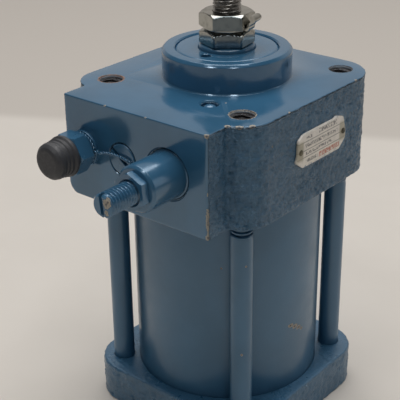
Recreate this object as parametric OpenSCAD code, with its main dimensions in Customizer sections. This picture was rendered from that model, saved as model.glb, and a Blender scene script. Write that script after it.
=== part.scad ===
// Double-acting tie-rod pneumatic cylinder, in millimetres.
// Frame: the origin is on the rod axis at the rear face. +Z runs along the rod
// to its threaded end, -Y is the port side and +X is the nameplate side.

/* [Barrel] */
// Bore of the tube
bore_d = 63; // [62.4:0.2:63.6]
// Wall of the tube
tube_wall = 3.5; // [3:0.25:4]
// Length of tube between the two covers
barrel_h = 78; // [76:1:90]
// Working stroke of the piston
stroke = 40; // [36:1:44]

/* [Covers] */
// Width of the square rear cover
rear_w = 79; // [78:0.5:80]
// Thickness of the rear cover
rear_h = 15; // [14.5:0.5:18]
// Corner radius of the rear cover
rear_corner_r = 15.4; // [14:0.2:16]
// Half width of the front head from the rod axis to the nameplate face
head_half = 40; // [39.5:0.5:41]
// Height of the front head without its boss
head_h = 36.5; // [36:0.5:38]
// Width of the machined port pad
pad_w = 63; // [62:0.5:66]
// Distance from the rod axis to the pad face
pad_y = 50; // [49.5:0.5:51]
// Diameter of the boss
boss_d = 46; // [45:0.5:48]
// Height of the boss
boss_h = 10.5; // [10:0.5:12]

/* [Tie rods] */
// Diameter of the tie rods
tie_d = 8; // [7.6:0.2:8]
// Distance from the rod axis to each tie rod along X and Y
tie_at = 29; // [28.8:0.1:29.2]
// Diameter of the head of each tie rod
tie_head_d = 13; // [12.6:0.2:13.2]
// Tapping diameter of the front mounting holes
tap_d = 6.8; // [6.6:0.1:7]
// Depth of the front mounting holes
tap_depth = 16; // [14:0.5:17]

/* [Rod and nuts] */
// Diameter of the piston rod
rod_d = 12; // [11.8:0.1:12.2]
// Diameter of the rod thread
thread_d = 10; // [9.8:0.1:10]
// Length of the rod thread above its shoulder
thread_len = 25.1; // [20:0.1:30]
// Size across the flats of the rod nuts
nut_af = 17; // [16:0.5:17]
// Thickness of each rod nut
nut_h = 5.2; // [4:0.1:5.3]
// Thickness of the tab washer
tab_t = 0.8; // [0.6:0.1:1]

/* [Ports] */
// Depth of the port axes below the top face of the head
port_drop = 17.6; // [17.2:0.1:18]
// Place of the capped fitting along X
fitting_x = -22.5; // [-22.8:0.1:-22]
// Place of the screw plug along X
plug_x = -4.9; // [-5.2:0.1:-4.6]
// Place of the throttle cartridge along X
valve_x = 14.6; // [14.4:0.1:14.8]
// Size across the flats of the fitting
fitting_af = 13; // [12.5:0.5:13]
// Size across the flats of the lock nut
lock_af = 11.5; // [11:0.5:12]
// Diameter of the cartridge body
cartridge_d = 16; // [15.6:0.2:16.4]
// Diameter of the adjusting screw
screw_d = 8; // [7.8:0.1:8]

/* [Hidden] */
$fn = 64;

eps = 0.1;            // overcut of a hole beyond a face
fit_gap = 0.05;       // radial gap of a running fit
seat_gap = 0.1;       // radial gap of a part set in its seat

// Levels along the rod
head_z = rear_h + barrel_h;
head_top = head_z + head_h;
boss_top = head_top + boss_h;
groove_h = 2;         // depth of the tube's groove in each cover
spigot_h = 6;         // length of each cover's spigot inside the tube
bumper_t = 3;         // thickness of each rubber bumper
bumper_seat = 1;      // depth that a bumper sits in its spigot
bumper_in = 9.5;      // inner radius of each bumper
bumper_out = 16;      // outer radius of each bumper
rear_stop = rear_h + spigot_h - bumper_seat + bumper_t;
front_stop = head_z - spigot_h + bumper_seat - bumper_t;

// Tube and spigots
bore_r = bore_d / 2;
tube_r = bore_r + tube_wall;
spigot_r = bore_r - seat_gap;
seal_r = 1.12;        // half the thickness of a tube seal

// Piston
rest_gap = 0.5;       // gap behind the piston when it is fully back
end_gap = 1.5;        // gap left before the front bumper at full stroke
piston_z = rear_stop + rest_gap;
piston_h = front_stop - rear_stop - stroke - rest_gap - end_gap;
piston_r = bore_r - 0.3;
lip_r = bore_r - 0.06; // outer radius of seals and guide ring
stub_r = 4.6;         // rod end inside the piston
nut_pocket_r = 11.5;
nut_pocket_h = 7.5;
piston_washer_t = 1.2;
piston_nut_h = 5;

// Rod end
rod_r = rod_d / 2;
thread_r = thread_d / 2;
grip_r = thread_r - 0.4; // the thread inside its nuts, at its pitch radius
shoulder_z = boss_top + 1.4;
lower_nut_z = shoulder_z;
tab_z = lower_nut_z + nut_h;
upper_nut_z = tab_z + tab_t;
free_thread_z = upper_nut_z + nut_h;
thread_top = shoulder_z + thread_len;
nut_cut = 2.1;        // chamfer of the rod nuts' corners
nut_turn = 39.7;      // turn of the rod nuts about the rod, in degrees
tab_turn = nut_turn - 30; // direction of the washer's bent tab, in degrees
tab_washer_r = 8;     // outer radius of the washer without its tab
tab_rise = 3.9;       // length of the bent tab

// Gland
gland_r = 18.25;
gland_z = head_top - 4;
gland_top = boss_top - 0.3;
wiper_r = 9.9;
wiper_z = gland_top - 3.7;
wiper_top = shoulder_z - 0.3;
pin_hole_r = 1.8;     // pin-spanner holes
pin_hole_at = [1, -12.95];
bush_r = 8;
bush_top = head_z + 24.5;
bush_bottom = head_z + 4;
seal_housing_r = 11;
seal_housing_z = head_z + 25;

// Ports, all on axes that run along Y at one height
port_z = head_top - port_drop;
gallery_y = -38;
passage_r = 2;
riser_at = [valve_x, -17];    // drilling from the throttle down to the chamber
ball_at = [14.3, -27.4];      // drilling closed by the pressed-in ball
head_back = 39;               // half depth of the head on the side away from the pad
head_front_r = 11.2;
head_back_r = 15;
pad_corner_r = 4.5;

// Throttle cartridge: distances from the rod axis along -Y
cart_end = pad_y + 15;
cart_seat = pad_y - 3;        // floor of the counterbore
cart_inner = 30;
cart_thread_r = 5.95;
lock_nut_h = 2.8;
lock_nut_turn = 23;    // turn of the lock nut about its axis, in degrees
slot_turn = 82.6;      // turn of the screw's slot from level, in degrees
screw_end = pad_y + 30;
screw_inner = 51;
needle_back = 50.8;
needle_in = 3.8;       // room for the needle to move inwards
needle_front = 42;
needle_r = 3;

// Capped fitting: heights above the pad
fit_ring_t = 1;
fit_neck_h = 2.6;
fit_hex_h = 6;
fit_neck_r = 5.2;
nipple_r = 4;
cap_z = fit_neck_h + fit_hex_h + 0.2;
cap_end = 17.6;
cap_wall_gap = 0.15;

// Nameplate on the +X face: its centre, and its outline along Y and Z with an
// ear at its upper right and lower left corners and the other two corners cut
plate_y = 0.5;
plate_z = head_top - 15.9;
plate_t = 0.8;
plate_outline = [
  [-14.3, 4.5], [-11.5, 6.1], [6.7, 6.1], [8.3, 6.7], [13, 5.3], [14.8, -0.4],
  [14.7, -3], [10.8, -6.2], [-11.4, -6], [-15.6, -3], [-14.6, -0.8]
];
rivet_at = 12.85;      // distance of each rivet from the plate's centre

// Rear port, on the side away from the pad
rear_port_z = 7.5;
rear_port_r = 4.4;
rear_port_depth = 11;
rear_riser_y = 22.4;

blue = [0.13, 0.33, 0.50];
steel = [0.62, 0.62, 0.60];
dark = [0.16, 0.16, 0.17];

// ---------- helpers ----------

// A solid of revolution about Z from a profile of [radius, height] points
module turned(points) {
  rotate_extrude() polygon(points);
}

// The same about an axis along -Y through (x, port_z); heights count outwards from y = 0
module turned_y(x, points) {
  translate([x, 0, port_z]) rotate([90, 0, 0]) turned(points);
}

// A cylinder about an axis along -Y, between two distances from y = 0
module bar_y(x, r, from, to) {
  turned_y(x, [[0, from], [r, from], [r, to], [0, to]]);
}

module ring(r_in, r_out, z0, z1) {
  turned([[r_in, z0], [r_out, z0], [r_out, z1], [r_in, z1]]);
}

module o_ring(r, section) {
  rotate_extrude() translate([r, 0]) circle(section);
}

// The four tie-rod places
module at_corners() {
  for (sx = [-1, 1], sy = [-1, 1]) translate([sx * tie_at, sy * tie_at, 0]) children();
}

// A plate outline with its own corner radius on the -Y and on the +Y side
module rounded_outline(half, front, back, front_r, back_r) {
  polygon([
    [-half + front_r, -front], [half - front_r, -front],
    [half, -front + front_r], [half, back - back_r],
    [half - back_r, back], [-half + back_r, back],
    [-half, back - back_r], [-half, -front + front_r]
  ]);
  for (s = [-1, 1]) {
    translate([s * (half - front_r), -front + front_r]) circle(front_r);
    translate([s * (half - back_r), back - back_r]) circle(back_r);
  }
}

// A hexagon nut blank with chamfered corners, standing on z = 0
module hex_blank(af, h, cut) {
  corner = af / sqrt(3);
  intersection() {
    cylinder(r = corner, h = h, $fn = 6);
    turned([
      [0, 0], [corner - cut, 0], [corner + eps, (cut + eps) * 0.55],
      [corner + eps, h - (cut + eps) * 0.55], [corner - cut, h], [0, h]
    ]);
  }
}

module rod_nut(z, hole_r) {
  translate([0, 0, z]) rotate([0, 0, nut_turn]) difference() {
    hex_blank(nut_af, nut_h, nut_cut);
    translate([0, 0, -eps]) cylinder(r = hole_r, h = nut_h + 2 * eps);
  }
}

// ---------- covers and tube ----------

module seal_groove(z) {
  ring(spigot_r - 2.2, spigot_r + 1, z - 1.3, z + 1.3);
}

module rear_cover() {
  half = rear_w / 2;
  color(blue) difference() {
    union() {
      linear_extrude(rear_h) rounded_outline(half, half, half, rear_corner_r, rear_corner_r);
      translate([0, 0, rear_h - 1]) cylinder(r = spigot_r, h = spigot_h + 1);
    }
    ring(spigot_r, tube_r + seat_gap, rear_h - groove_h, rear_h + eps);
    seal_groove(rear_h + spigot_h - 3);
    ring(bumper_in - fit_gap, bumper_out + fit_gap,
      rear_h + spigot_h - bumper_seat, rear_h + spigot_h + eps);
    at_corners() {
      translate([0, 0, -eps]) cylinder(r = tie_d / 2 + 0.2, h = rear_h + 2 * eps);
      translate([0, 0, -eps]) cylinder(r = tie_head_d / 2 + 0.4, h = 8 + eps);
    }
    translate([0, half + eps, rear_port_z]) rotate([90, 0, 0]) {
      cylinder(r = rear_port_r, h = rear_port_depth + eps);
      cylinder(r = passage_r, h = half - rear_riser_y + passage_r);
    }
    translate([0, rear_riser_y, rear_port_z]) cylinder(r = passage_r, h = rear_h + spigot_h);
  }
}

module barrel_tube() {
  color(blue) ring(bore_r, tube_r, rear_h - groove_h, head_z + groove_h);
}

module head_block() {
  translate([0, 0, head_z]) linear_extrude(head_h)
    rounded_outline(head_half, head_half, head_back, head_front_r, head_back_r);
  translate([0, -head_back + 12, 0]) rotate([90, 0, 0]) linear_extrude(pad_y - head_back + 12)
    difference() {
      translate([-pad_w / 2, head_z]) square([pad_w, head_h]);
      translate([-pad_w / 2 - eps, head_z - eps]) difference() {
        square(pad_corner_r + eps);
        translate([pad_corner_r + eps, pad_corner_r + eps]) circle(pad_corner_r);
      }
    }
  turned([[0, head_top - 1], [boss_d / 2, head_top - 1], [boss_d / 2, boss_top - 1],
    [boss_d / 2 - 1, boss_top], [0, boss_top]]);
  translate([0, 0, head_z - spigot_h]) cylinder(r = spigot_r, h = spigot_h + 1);
}

// Everything bored along the rod axis
module head_rod_bores() {
  translate([0, 0, gland_z - seat_gap]) cylinder(r = gland_r + fit_gap, h = boss_h + 4 + 2 * eps);
  translate([0, 0, seal_housing_z]) cylinder(r = seal_housing_r, h = gland_z - seal_housing_z + eps);
  translate([0, 0, bush_bottom]) cylinder(r = bush_r, h = seal_housing_z - bush_bottom + eps);
  translate([0, 0, head_z - spigot_h - eps])
    cylinder(r = rod_r + 0.6, h = bush_bottom - head_z + spigot_h + 2 * eps);
  ring(bumper_in - fit_gap, bumper_out + fit_gap,
    head_z - spigot_h - eps, head_z - spigot_h + bumper_seat);
  ring(spigot_r, tube_r + seat_gap, head_z - eps, head_z + groove_h);
  seal_groove(head_z - spigot_h + 3);
}

// Tapped holes on top and tie-rod holes below, on one axis
module head_corner_bores() {
  at_corners() {
    translate([0, 0, head_top - tap_depth]) cylinder(r = tap_d / 2, h = tap_depth + eps);
    translate([0, 0, head_top - 0.9]) cylinder(r1 = tap_d / 2, r2 = tap_d / 2 + 1.1, h = 1.1);
    translate([0, 0, head_z - eps]) cylinder(r = tie_d / 2 + fit_gap, h = 15 + eps);
  }
}

// Ports in the pad and the passages behind them
module head_port_bores() {
  bar_y(fitting_x, 4.95, 41, pad_y + eps);
  bar_y(fitting_x, 3, -gallery_y - passage_r, 42);
  bar_y(plug_x, 5.9, pad_y - 0.7, pad_y + eps);
  bar_y(plug_x, 4.85, 42, pad_y);
  bar_y(plug_x, 3, -gallery_y - passage_r, 43);
  bar_y(valve_x, 8.75, cart_seat, pad_y + eps);
  bar_y(valve_x, 6, cart_inner - 3, cart_seat + eps);
  bar_y(valve_x, passage_r - 0.25, -riser_at[1], cart_inner);
  translate([fitting_x, gallery_y, port_z]) rotate([0, 90, 0])
    cylinder(r = passage_r - 0.1, h = valve_x - fitting_x);
  translate([riser_at[0], riser_at[1], head_z - spigot_h - eps])
    cylinder(r = passage_r, h = port_z - head_z + spigot_h + passage_r);
  translate([ball_at[0], ball_at[1], port_z]) cylinder(r = passage_r, h = port_drop);
  translate([ball_at[0], ball_at[1], head_top - 7]) cylinder(r = 3, h = 7 + eps);
  translate([ball_at[0], ball_at[1], head_top - 0.7]) cylinder(r1 = 3, r2 = 3.8, h = 0.8);
}

module front_head() {
  color(blue) difference() {
    head_block();
    head_rod_bores();
    head_corner_bores();
    head_port_bores();
  }
}

// ---------- tie rods ----------

module tie_rod(sx, sy) {
  r = tie_d / 2;
  color(blue) translate([sx * tie_at, sy * tie_at, 0]) difference() {
    turned([
      [0, 1.4], [tie_head_d / 2 - 0.5, 1.4], [tie_head_d / 2, 1.9], [tie_head_d / 2, 6.4],
      [r, 6.4], [r, head_z - 3], [r - 0.5, head_z - 2.6], [r - 0.5, head_z + 0.6],
      [r, head_z + 1], [r, head_z + 12], [r - 1, head_z + 13], [0, head_z + 13]
    ]);
    translate([0, 0, 1.3]) cylinder(r = 5 / sqrt(3), h = 3, $fn = 6);
  }
}

module tie_rod_1() { tie_rod(-1, -1); }
module tie_rod_2() { tie_rod(1, -1); }
module tie_rod_3() { tie_rod(1, 1); }
module tie_rod_4() { tie_rod(-1, 1); }

module tie_rod_washers() {
  color(steel) at_corners() ring(tie_d / 2 + 0.15, tie_head_d / 2 - 0.2, 6.4, 8);
}

// ---------- seals, bumpers and guides in the covers ----------

module tube_seal(z) {
  color(dark) translate([0, 0, z]) o_ring(spigot_r - 1.05, seal_r);
}

module rear_tube_seal() { tube_seal(rear_h + spigot_h - 3); }
module front_tube_seal() { tube_seal(head_z - spigot_h + 3); }

module rear_bumper() {
  color(dark) ring(bumper_in, bumper_out, rear_stop - bumper_t, rear_stop);
}

module front_bumper() {
  color(dark) ring(bumper_in, bumper_out, front_stop, front_stop + bumper_t);
}

module rod_bush() {
  color("darkgoldenrod") ring(rod_r + fit_gap, bush_r, bush_bottom, bush_top);
}

module rod_seal() {
  top = gland_z - 0.2;
  color(dark) turned([
    [rod_r + 0.5, seal_housing_z + 0.2], [seal_housing_r - 0.4, seal_housing_z + 0.2],
    [seal_housing_r - 0.2, top], [seal_housing_r - 1.4, top],
    [seal_housing_r - 2.2, top - 3], [rod_r + 1.9, top - 3],
    [rod_r + 1.1, top], [rod_r + 0.08, top], [rod_r + 0.3, top - 3]
  ]);
}

module rod_gland() {
  color(blue) difference() {
    turned([
      [rod_r + 0.4, gland_z], [gland_r, gland_z], [gland_r, gland_z + 5],
      [gland_r - 1.5, gland_z + 5], [gland_r - 1.5, gland_z + 7.2], [gland_r, gland_z + 7.2],
      [gland_r, gland_top - 0.4], [gland_r - 0.4, gland_top], [wiper_r, gland_top],
      [wiper_r, wiper_z], [rod_r + 0.4, wiper_z]
    ]);
    for (s = [-1, 1]) translate([s * pin_hole_at[0], s * pin_hole_at[1], gland_top - 5])
      cylinder(r = pin_hole_r, h = 5 + eps);
  }
}

module gland_o_ring() {
  color(dark) translate([0, 0, gland_z + 6.1]) o_ring(gland_r - 0.75, 0.72);
}

module wiper_ring() {
  color(dark) turned([
    [rod_r + 0.4, wiper_z], [wiper_r, wiper_z], [wiper_r, wiper_top - 0.8],
    [wiper_r - 0.8, wiper_top], [rod_r + 1.6, wiper_top],
    [rod_r + 1, wiper_top - 1.2], [rod_r + 0.08, wiper_top - 0.4], [rod_r + 0.08, wiper_top - 1.2]
  ]);
}

// ---------- pieces on the pad ----------

module passage_ball() {
  color(blue) translate([ball_at[0], ball_at[1], head_top - 3.3]) sphere(2.95);
}

module screw_plug() {
  color(blue) difference() {
    turned_y(plug_x, [[0, 43.5], [3.6, 43.5], [4.8, 44.7], [4.8, pad_y - 0.65],
      [5.6, pad_y - 0.65], [5.6, pad_y - 0.1], [5.3, pad_y + 0.2], [0, pad_y + 0.2]]);
    translate([plug_x, -pad_y, port_z]) rotate([0, 35, 0]) cube([12, 2.4, 1.5], center = true);
    bar_y(plug_x + 4.1, 0.75, pad_y - 3, pad_y + 1);
  }
}

module port_seal_ring() {
  color(steel) difference() {
    bar_y(fitting_x, 6.4, pad_y, pad_y + fit_ring_t);
    bar_y(fitting_x, 5, pad_y - 1, pad_y + 2);
  }
}

module port_fitting() {
  hex_from = pad_y + fit_neck_h;
  color(blue) difference() {
    union() {
      turned_y(fitting_x, [[0, 41.5], [4.2, 41.5], [4.9, 42.3], [4.9, pad_y], [4.9, pad_y + fit_ring_t],
        [fit_neck_r, pad_y + fit_ring_t], [fit_neck_r, hex_from + 1], [0, hex_from + 1]]);
      translate([fitting_x, -hex_from, port_z]) rotate([90, 0, 0])
        hex_blank(fitting_af, fit_hex_h, 0.8);
      turned_y(fitting_x, [[0, hex_from + 5], [nipple_r, hex_from + 5], [nipple_r, pad_y + 15],
        [nipple_r - 0.8, pad_y + 15.8], [0, pad_y + 15.8]]);
    }
    bar_y(fitting_x, 2, 40, pad_y + 20);
  }
}

module port_cap() {
  inner = nipple_r + cap_wall_gap;
  color(dark) turned_y(fitting_x, [
    [inner, pad_y + cap_z], [6.9, pad_y + cap_z], [7.2, pad_y + cap_z + 0.4],
    [7.2, pad_y + cap_z + 1.6], [6.6, pad_y + cap_z + 2.2],
    [6.7, pad_y + 12.2], [6.4, pad_y + 12.6], [6.4, pad_y + 13.1], [6.6, pad_y + 13.5],
    [6.3, pad_y + 14], [6.3, pad_y + 14.5], [6.5, pad_y + 14.9],
    [6.2, pad_y + cap_end - 1.2], [5.2, pad_y + cap_end - 0.2], [4.4, pad_y + cap_end],
    [0, pad_y + cap_end], [0, pad_y + 16.2], [inner, pad_y + 16.2]
  ]);
}

// The locking wire: round the fitting's neck and across to the screw plug
wire_r = 0.45;
wire_sides = 8;
loop_r = fit_neck_r + wire_r + 0.1;
loop_y = -(pad_y + fit_ring_t + wire_r + 0.15);
loop_from = 300;      // angle where the loop starts, from +X towards +Z
loop_turn = -330;
loop_steps = 22;
loop_points = [for (i = [0:loop_steps])
  let(a = loop_from + loop_turn * i / loop_steps)
  [fitting_x + loop_r * cos(a), loop_y, port_z + loop_r * sin(a)]];
wire_tail = [
  [fitting_x + 6.7, -51.6, port_z + 0.6],
  [fitting_x + 8.3, -51.2, port_z + 0.5],
  [plug_x - 7, -50.8, port_z + 1.1],
  [plug_x - 4, -50.9, port_z + 1.5],
  [plug_x, -51, port_z + 1.4],
  [plug_x + 3, -51, port_z + 0.8],
  [plug_x + 4.1, -50.4, port_z],
  [plug_x + 4.1, -49.6, port_z],
  [plug_x + 4.1, -48.6, port_z]
];
wire_route = concat(loop_points, wire_tail);

function unit(v) = v / norm(v);
function route_dir(p, i) = unit(p[min(i + 1, len(p) - 1)] - p[max(i - 1, 0)]);
// Sides of the tube's section, carried from ring to ring without twist
function carry(p, i, side) = let(d = route_dir(p, i)) unit(side - d * (side * d));
function sides(p) = [for (i = 0, s = carry(p, 0, [0, 1, 0]); i < len(p);
  i = i + 1, s = i < len(p) ? carry(p, i, s) : s) s];

module swept_wire(p, r, n) {
  s = sides(p);
  points = [for (i = [0:len(p) - 1]) let(d = route_dir(p, i), u = s[i], v = cross(d, u))
    for (k = [0:n - 1]) p[i] + r * (cos(360 * k / n) * u + sin(360 * k / n) * v)];
  last = (len(p) - 1) * n;
  walls = [for (i = [0:len(p) - 2], k = [0:n - 1])
    [i * n + k, (i + 1) * n + k, (i + 1) * n + (k + 1) % n, i * n + (k + 1) % n]];
  polyhedron(points, concat([[for (k = [0:n - 1]) k]], walls,
    [[for (k = [n - 1:-1:0]) last + k]]));
}

module lock_wire() {
  color(blue) swept_wire(wire_route, wire_r, wire_sides);
}

// ---------- throttle cartridge ----------

module cartridge_body() {
  r = cartridge_d / 2;
  color(blue) difference() {
    turned_y(valve_x, [
      [0, cart_inner], [cart_thread_r - 0.6, cart_inner], [cart_thread_r, cart_inner + 0.6],
      [cart_thread_r, cart_seat + 0.02], [r, cart_seat + 0.02], [r, cart_end - 0.8],
      [r - 0.8, cart_end], [0, cart_end]
    ]);
    bar_y(valve_x, screw_d / 2 + fit_gap, needle_back - needle_in, cart_end + eps);
    bar_y(valve_x, needle_r + fit_gap, 32, cart_end);
    bar_y(valve_x, 1.25, cart_inner - eps, 33);
    translate([valve_x, 0, port_z]) rotate([90, 0, 0]) {
      ring(cart_thread_r - 0.9, cart_thread_r + 1, 36, 40);
      ring(cart_thread_r - 1.3, cart_thread_r + 1, 42.6, 44.6);
    }
    translate([valve_x, gallery_y, port_z]) rotate([0, 90, 0])
      cylinder(r = 1.25, h = 14, center = true);
    translate([valve_x, gallery_y, port_z]) cylinder(r = 1.2, h = 14, center = true);
  }
}

module cartridge_o_ring() {
  color(dark) translate([valve_x, -43.6, port_z]) rotate([90, 0, 0]) o_ring(cart_thread_r - 0.6, 0.62);
}

module throttle_needle() {
  color("goldenrod") turned_y(valve_x, [
    [0, needle_back], [needle_r - 0.4, needle_back], [needle_r, needle_back - 0.4],
    [needle_r, 45.6], [2, 45.6], [2, 44.2], [needle_r, 44.2], [needle_r, needle_front],
    [1.9, needle_front], [1.9, 38.5], [0.4, 33.5], [0, 33.5]
  ]);
}

module needle_o_ring() {
  color(dark) translate([valve_x, -44.9, port_z]) rotate([90, 0, 0]) o_ring(2.5, 0.48);
}

module adjusting_screw() {
  r = screw_d / 2;
  color(blue) difference() {
    turned_y(valve_x, [[0, screw_inner], [r - 0.6, screw_inner], [r, screw_inner + 0.6],
      [r, screw_end - 0.8], [r - 0.7, screw_end], [0, screw_end]]);
    translate([valve_x, -screw_end, port_z]) rotate([0, slot_turn, 0])
      cube([12, 3.2, 1.3], center = true);
  }
}

module lock_nut() {
  color(blue) difference() {
    translate([valve_x, -(cart_end + 0.05), port_z]) rotate([90, lock_nut_turn, 0])
      hex_blank(lock_af, lock_nut_h, 0.9);
    bar_y(valve_x, screw_d / 2 + fit_gap, cart_end - 1, cart_end + lock_nut_h + 1);
  }
}

// ---------- nameplate ----------

module nameplate() {
  color("lightgray") translate([head_half, plate_y, plate_z]) rotate([90, 0, 90])
    linear_extrude(plate_t) polygon(plate_outline);
}

module nameplate_rivets() {
  color("silver") for (s = [-1, 1])
    translate([head_half + plate_t, plate_y + s * rivet_at, plate_z])
      rotate([0, 90, 0]) turned([[0, 0], [1.3, 0], [1.15, 0.35], [0.7, 0.6], [0, 0.7]]);
}

// ---------- piston and rod ----------

module piston_rod() {
  color(steel) turned([
    [0, piston_z + 0.5], [stub_r - 0.8, piston_z + 0.5], [stub_r, piston_z + 1.3],
    [stub_r, piston_z + piston_h], [rod_r, piston_z + piston_h], [rod_r, shoulder_z - 0.5],
    [rod_r - 0.5, shoulder_z], [grip_r - 0.06, shoulder_z], [grip_r - 0.06, free_thread_z],
    [thread_r, free_thread_z], [thread_r, thread_top - 0.9], [thread_r - 0.9, thread_top], [0, thread_top]
  ]);
}

seal_depth = 3.7;
seal_w = 3.5;
front_seal_z = piston_z + piston_h - 5.2;
rear_seal_z = piston_z + 1.6;
guide_z = piston_z + 7;
guide_w = 6;

module piston() {
  color(steel) difference() {
    translate([0, 0, piston_z]) cylinder(r = piston_r, h = piston_h);
    translate([0, 0, piston_z - eps]) cylinder(r = nut_pocket_r, h = nut_pocket_h + eps);
    translate([0, 0, piston_z]) cylinder(r = stub_r + 0.02, h = piston_h + eps);
    ring(piston_r - seal_depth, piston_r + 1, front_seal_z, front_seal_z + seal_w);
    ring(piston_r - seal_depth, piston_r + 1, rear_seal_z, rear_seal_z + seal_w);
    ring(piston_r - 1.6, piston_r + 1, guide_z, guide_z + guide_w);
    ring(stub_r, stub_r + 1.7, piston_z + 11, piston_z + 13.4);
  }
}

// A lip seal in its groove; side 1 opens its lips upwards, side -1 downwards
module lip_seal(z, side) {
  inner = piston_r - seal_depth + 0.1;
  color(dark) translate([0, 0, z + seal_w / 2]) mirror([0, 0, side < 0 ? 1 : 0]) turned([
    [inner, -seal_w / 2 + 0.1], [piston_r - 0.1, -seal_w / 2 + 0.1], [lip_r, seal_w / 2 - 0.1],
    [lip_r - 0.9, seal_w / 2 - 0.1], [lip_r - 1.6, -0.4], [inner + 1.3, -0.4],
    [inner + 0.8, seal_w / 2 - 0.1], [inner, seal_w / 2 - 0.1]
  ]);
}

module piston_seal_front() { lip_seal(front_seal_z, 1); }
module piston_seal_rear() { lip_seal(rear_seal_z, -1); }

module guide_ring() {
  color("sienna") ring(piston_r - 1.5, lip_r, guide_z + 0.1, guide_z + guide_w - 0.1);
}

module rod_o_ring() {
  color(dark) translate([0, 0, piston_z + 12.2]) o_ring(stub_r + 0.87, 0.8);
}

module piston_washer() {
  color(steel) ring(stub_r + 0.15, 10, piston_z + nut_pocket_h - piston_washer_t, piston_z + nut_pocket_h);
}

module piston_nut() {
  color(steel) translate([0, 0, piston_z + nut_pocket_h - piston_washer_t - piston_nut_h]) difference() {
    hex_blank(nut_af, piston_nut_h, 1.2);
    translate([0, 0, -eps]) cylinder(r = stub_r + 0.05, h = piston_nut_h + 2 * eps);
  }
}

// ---------- rod end ----------

module rod_nut_lower() {
  color(steel) rod_nut(lower_nut_z, grip_r);
}

module rod_nut_upper() {
  color(steel) rod_nut(upper_nut_z, grip_r);
}

module tab_washer() {
  color(steel) {
    difference() {
      union() {
        ring(thread_r, tab_washer_r, tab_z, tab_z + tab_t);
        rotate([0, 0, tab_turn]) translate([6, -3.4, tab_z]) cube([4.2, 6.8, tab_t]);
      }
      translate([0, 0, tab_z - eps]) cylinder(r = thread_r, h = 2);
    }
    rotate([0, 0, tab_turn]) translate([9.6, -3.4, tab_z]) rotate([0, 8, 0])
      cube([tab_t, 6.8, tab_rise]);
  }
}

// ---------- the assembly ----------

rear_cover();
barrel_tube();
front_head();
tie_rod_1();
tie_rod_2();
tie_rod_3();
tie_rod_4();
tie_rod_washers();
rear_tube_seal();
front_tube_seal();
rear_bumper();
front_bumper();
rod_bush();
rod_seal();
rod_gland();
gland_o_ring();
wiper_ring();
passage_ball();
screw_plug();
port_seal_ring();
port_fitting();
port_cap();
lock_wire();
cartridge_body();
cartridge_o_ring();
throttle_needle();
needle_o_ring();
adjusting_screw();
lock_nut();
nameplate();
nameplate_rivets();
piston_rod();
piston();
piston_seal_front();
piston_seal_rear();
guide_ring();
rod_o_ring();
piston_washer();
piston_nut();
rod_nut_lower();
tab_washer();
rod_nut_upper();
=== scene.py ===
import math
from collections import namedtuple

import bmesh
import bpy
import numpy as np
from mathutils import Matrix, Vector, noise


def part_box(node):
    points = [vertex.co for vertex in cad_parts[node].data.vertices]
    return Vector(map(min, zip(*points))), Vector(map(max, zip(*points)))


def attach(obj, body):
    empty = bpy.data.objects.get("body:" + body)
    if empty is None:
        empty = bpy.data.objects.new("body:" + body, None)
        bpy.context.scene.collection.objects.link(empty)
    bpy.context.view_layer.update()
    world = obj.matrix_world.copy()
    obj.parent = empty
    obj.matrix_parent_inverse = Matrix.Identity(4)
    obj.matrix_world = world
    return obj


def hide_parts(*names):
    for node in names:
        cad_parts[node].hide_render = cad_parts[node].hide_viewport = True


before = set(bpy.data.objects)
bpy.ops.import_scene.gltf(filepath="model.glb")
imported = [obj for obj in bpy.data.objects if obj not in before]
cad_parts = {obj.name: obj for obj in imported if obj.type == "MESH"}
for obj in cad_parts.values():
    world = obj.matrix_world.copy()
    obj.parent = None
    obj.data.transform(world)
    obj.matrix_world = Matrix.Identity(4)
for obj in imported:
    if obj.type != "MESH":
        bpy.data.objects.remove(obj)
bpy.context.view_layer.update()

MM = 0.001
TURN = 2 * math.pi
Box = namedtuple("Box", "low high middle")


def box_mm(node):
    """Lowest corner, highest corner and middle of a CAD node's box, in millimetres."""
    low, high = ([c / MM for c in corner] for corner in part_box(node))
    return Box(low, high, [(a + b) / 2 for a, b in zip(low, high)])


# ---------- sizes, in millimetres, from the CAD nodes ----------

TUBE, HEAD, COVER = box_mm("barrel_tube"), box_mm("front_head"), box_mm("rear_cover")
ROD, GLAND, WIPER = box_mm("piston_rod"), box_mm("rod_gland"), box_mm("wiper_ring")
SCREW, CARTRIDGE, LOCK_NUT = box_mm("adjusting_screw"), box_mm("cartridge_body"), box_mm("lock_nut")
FITTING, CAP, PLUG = box_mm("port_fitting"), box_mm("port_cap"), box_mm("screw_plug")
BALL, PLATE, TIE = box_mm("passage_ball"), box_mm("nameplate"), box_mm("tie_rod_3")
LOWER_NUT, UPPER_NUT = box_mm("rod_nut_lower"), box_mm("rod_nut_upper")

GROOVE = 2.0                      # depth of the tube's seat in each cover
TUBE_R = TUBE.high[0]
BORE_R = TUBE_R - 3.5
SPIGOT_R = BORE_R - 0.1
HEAD_Z = TUBE.high[2] - GROOVE
HEAD_TOP = HEAD_Z + 36.5
BOSS_TOP = HEAD.high[2]
BOSS_R = 23.0
HEAD_HALF = HEAD.high[0]
HEAD_BACK = HEAD.high[1]
PAD_Y = HEAD.low[1]
PAD_HALF = 31.5
FRONT_R, BACK_R = 11.2, 15.0      # corner radii of the head
COVER_HALF = COVER.high[0]
COVER_H = TUBE.low[2] + GROOVE
COVER_R = 15.4
TIE_AT = TIE.middle[0]
TIE_R = 4.0
SHOULDER_Z = LOWER_NUT.low[2]
GLAND_R = GLAND.high[0]
GLAND_TOP = GLAND.high[2]
WIPER_R = WIPER.high[0]
WIPER_TOP = WIPER.high[2]
PORT_Z = CARTRIDGE.middle[2]
VALVE_X = CARTRIDGE.middle[0]
FITTING_X = FITTING.middle[0]
PLUG_X = PLUG.middle[0]
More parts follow.
